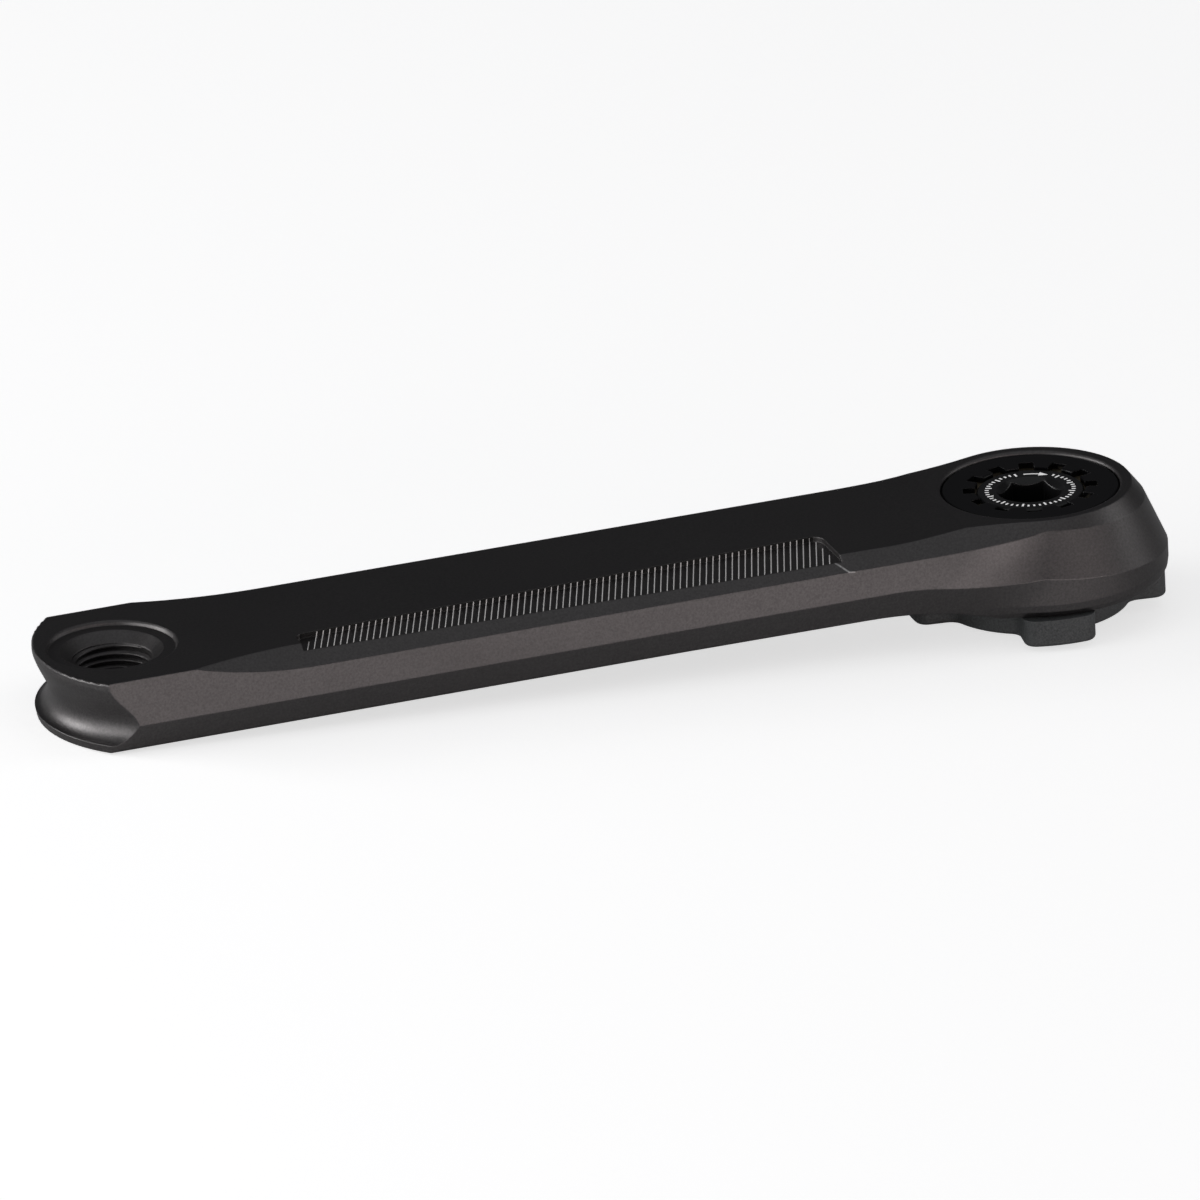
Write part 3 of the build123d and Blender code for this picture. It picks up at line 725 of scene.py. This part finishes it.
@dataclass
class BoltFace:
    """Plain printed ticks and a turning arrow on the bolt's face."""

    face_z: float = 20.2 * MM
    inner_r: float = 6.95 * MM
    outer_r: float = 8.1 * MM
    tick_count: int = 48
    tick_share: float = 0.34
    long_each: int = 4
    short_by: float = 0.45 * MM
    arrow_centre: float = 62.0
    arrow_half: float = 17.0
    neck_share: float = 0.25
    stem_half: float = 0.16 * MM
    head_half: float = 0.75 * MM
    arc_step: float = 4.0
    rise: float = 0.02 * MM

    def arc(self, mesh: bmesh.types.BMesh, low_r: float, high_r: float, start: float,
            end: float) -> None:
        """Adds a thin curved band.

        Args:
            mesh: where it is added.
            low_r: inner radius.
            high_r: outer radius.
            start: first angle in degrees.
            end: last angle in degrees.
        """
        steps = max(2, int(math.ceil(abs(end - start) / self.arc_step)))
        angles = [math.radians(start + (end - start) * i / steps) for i in range(steps + 1)]
        outline = [(high_r * math.cos(a), high_r * math.sin(a), self.face_z) for a in angles]
        outline += [(low_r * math.cos(a), low_r * math.sin(a), self.face_z) for a in reversed(angles)]
        Meshes.slab(mesh, outline, Vector((0.0, 0.0, self.rise)))

    def build(self) -> bpy.types.Object:
        """Lays the ticks and the arrow and returns the object."""
        mesh = bmesh.new()
        pitch = 360.0 / self.tick_count
        for i in range(self.tick_count):
            angle = i * pitch
            away = abs((angle - self.arrow_centre + 180.0) % 360.0 - 180.0)
            if away < self.arrow_half + pitch:
                continue
            low = self.inner_r if i % self.long_each == 0 else self.inner_r + self.short_by
            half = pitch * self.tick_share / 2
            self.arc(mesh, low, self.outer_r, angle - half, angle + half)
        middle = (self.inner_r + self.outer_r) / 2
        start = self.arrow_centre + self.arrow_half
        neck = self.arrow_centre - self.arrow_half * self.neck_share
        self.arc(mesh, middle - self.stem_half, middle + self.stem_half, start, neck)
        tip = math.radians(self.arrow_centre - self.arrow_half)
        root = math.radians(neck)
        outline = [((middle + side) * math.cos(a), (middle + side) * math.sin(a), self.face_z)
                   for side, a in ((self.head_half, root), (-self.head_half, root), (0.0, tip))]
        Meshes.slab(mesh, outline, Vector((0.0, 0.0, self.rise)))
        return Meshes.from_bmesh("bolt_face_ticks", mesh)


@dataclass(frozen=True)
class SoftBox:
    """A rectangular soft light that faces the part, given by the brightness of its cloth."""

    name: str
    place: Point
    size: Tuple[float, float]
    radiance: float
    colour: Colour = (1.0, 1.0, 1.0)

    def hang(self, aim: Point) -> bpy.types.Object:
        """Hangs the light.

        Args:
            aim: point that it faces.

        Returns:
            The light's object.
        """
        data = bpy.data.lights.new(self.name, "AREA")
        data.shape = "RECTANGLE"
        data.size, data.size_y = self.size
        data.energy = self.radiance * math.pi * self.size[0] * self.size[1]
        data.color = self.colour
        lamp = bpy.data.objects.new(self.name, data)
        lamp.location = self.place
        lamp.rotation_mode = "QUATERNION"
        lamp.rotation_quaternion = (Vector(aim) - Vector(self.place)).to_track_quat("-Z", "Y")
        lamp.visible_camera = False
        bpy.context.scene.collection.objects.link(lamp)
        return lamp


@dataclass
class Studio:
    """Floor, lights and camera."""

    target: Point = (-86.25 * MM, 0.0, 15.2 * MM)
    azimuth: float = -18.477
    elevation: float = 21.771
    roll: float = -2.886
    distance: float = 5.0
    lens: float = 847.95
    off_right: float = 4.497 * MM
    off_up: float = -0.764 * MM
    rest_left: Tuple[float, float] = (-186.2 * MM, 8.06 * MM)
    rest_right: Tuple[float, float] = (-23.1 * MM, -0.86 * MM)
    sensor: float = 36.0
    clip: Tuple[float, float] = (0.05, 60.0)
    floor_half: float = 9.0
    floor_cells: int = 12
    floor_colour: Colour = (0.86, 0.86, 0.86)
    floor_fade: float = 0.985
    floor_rough: float = 0.9
    floor_specular: float = 0.1
    floor_glow: float = 0.66
    surround: Colour = (0.053, 0.053, 0.056)
    backdrop: Colour = (0.95, 0.95, 0.95)
    boxes: Tuple[SoftBox, ...] = (
        SoftBox("softbox_front", (0.3, -1.7, 0.16), (2.9, 0.38), 3.0, (1.0, 0.905, 0.895)),
        SoftBox("softbox_top", (0.1, -0.35, 1.7), (3.0, 2.4), 0.26, (0.96, 0.985, 1.0)),
        SoftBox("softbox_left", (-1.25, -0.35, 0.36), (0.9, 0.6), 2.7),
        SoftBox("softbox_back_left", (-1.4, 0.6, 0.45), (0.9, 0.6), 5.6),
        SoftBox("softbox_right", (1.6, -0.25, 0.6), (0.8, 0.8), 1.35),
    )

    def axes(self) -> Tuple[Vector, Vector, Vector]:
        """Right, up and back directions of the camera."""
        a, e, r = (math.radians(v) for v in (self.azimuth, self.elevation, self.roll))
        back = Vector((math.sin(a) * math.cos(e), -math.cos(a) * math.cos(e), math.sin(e)))
        right = Vector((math.cos(a), math.sin(a), 0.0))
        up = back.cross(right)
        return right * math.cos(r) + up * math.sin(r), up * math.cos(r) - right * math.sin(r), back

    def camera(self) -> bpy.types.Object:
        """Places the camera at the photograph's angle and returns it."""
        right, up, back = self.axes()
        data = bpy.data.cameras.new("camera")
        data.lens = self.lens
        data.sensor_width = self.sensor
        data.clip_start, data.clip_end = self.clip
        camera = bpy.data.objects.new("camera", data)
        aim = Vector(self.target) + right * self.off_right + up * self.off_up
        turn = Matrix((right, up, back)).transposed().to_4x4()
        camera.matrix_world = Matrix.Translation(aim + back * self.distance) @ turn
        bpy.context.scene.collection.objects.link(camera)
        bpy.context.scene.camera = camera
        return camera

    def floor_material(self) -> bpy.types.Material:
        """Pale matt material that looks lighter to the camera than it is to reflections."""
        material = bpy.data.materials.new("pale_floor")
        material.use_nodes = True
        graph = Graph(material.node_tree)
        shader = material.node_tree.nodes["Principled BSDF"]
        place = graph.add("ShaderNodeTexCoord").outputs["Object"]
        cloud = graph.add("ShaderNodeTexNoise", Vector=place, Scale=3.0, Detail=2.0)
        tone = tuple(c * self.floor_fade for c in self.floor_colour)
        colour = graph.mix(cloud.outputs["Fac"], self.floor_colour, tone)
        graph.feed(shader.inputs["Base Color"], colour)
        shader.inputs["Roughness"].default_value = self.floor_rough
        shader.inputs["Specular IOR Level"].default_value = self.floor_specular
        shader.inputs["Emission Color"].default_value = WHITE
        seen = graph.add("ShaderNodeLightPath").outputs["Is Camera Ray"]
        glow = graph.math("MULTIPLY", seen, self.floor_glow)
        graph.feed(shader.inputs["Emission Strength"], glow)
        return material

    def floor(self) -> bpy.types.Object:
        """Lays a pale floor under the pedal end and the nearest lug, and returns it."""
        slope = (self.rest_right[1] - self.rest_left[1]) / (self.rest_right[0] - self.rest_left[0])
        mesh = bmesh.new()
        cells = self.floor_cells
        side = [self.floor_half * (2 * i / cells - 1) for i in range(cells + 1)]
        heights = [self.rest_right[1] + slope * (x - self.rest_right[0]) for x in side]
        grid = [[mesh.verts.new((x, y, z)) for x, z in zip(side, heights)] for y in side]
        for low, high in zip(grid, grid[1:]):
            for i in range(cells):
                mesh.faces.new((low[i], low[i + 1], high[i + 1], high[i]))
        floor = Meshes.from_bmesh("floor", mesh)
        floor.data.materials.append(self.floor_material())
        return floor

    def light(self) -> None:
        """Hangs the soft boxes and sets a dim surround that looks pale to the camera."""
        for box in self.boxes:
            box.hang(self.target)
        world = bpy.data.worlds.new("surround")
        world.use_nodes = True
        bpy.context.scene.world = world
        graph = Graph(world.node_tree)
        seen = graph.add("ShaderNodeLightPath").outputs["Is Camera Ray"]
        tone = graph.mix(seen, self.surround, self.backdrop)
        graph.feed(world.node_tree.nodes["Background"].inputs["Color"], tone)


@dataclass
class CrankArm:
    """The whole part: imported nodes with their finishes, and the pieces added to them."""

    frame: Dict[str, object]
    effects: Effects = field(default_factory=Effects)

    def dress_nodes(self) -> None:
        """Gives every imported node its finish."""
        finishes = {
            "crank_arm": ANODISED,
            "extractor_ring": GLOSS,
            "crank_bolt": OXIDE,
            "glide_washer": BRONZE,
            "bolt_washer": STEEL,
            "preload_ring": NYLON,
        }
        for name, finish in finishes.items():
            node = self.frame["nodes"][name]
            node.data.materials.clear()
            node.data.materials.append(finish.make(self.effects))
            LOG.info("node %s: %s", name, finish.name)

    def add_pieces(self) -> None:
        """Builds the thread, the etched lines and the bolt's ticks."""
        arm = self.frame["nodes"]["crank_arm"].data.materials[0]
        adopt(PedalEye().build(), Body.ARM, arm)
        adopt(EtchedPocket().build(), Body.ARM, ETCH.make(self.effects))
        adopt(BoltFace().build(), Body.BOLT, PRINT.make(self.effects))


def main() -> None:
    logging.basicConfig(level=logging.INFO, format="%(message)s")
    for old in list(bpy.data.objects):
        bpy.data.objects.remove(old)
    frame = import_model()
    bpy.context.scene.view_settings.view_transform = "Standard"
    part = CrankArm(frame)
    part.dress_nodes()
    part.add_pieces()
    studio = Studio()
    studio.camera()
    studio.floor()
    studio.light()


if __name__ == "__main__":
    main()
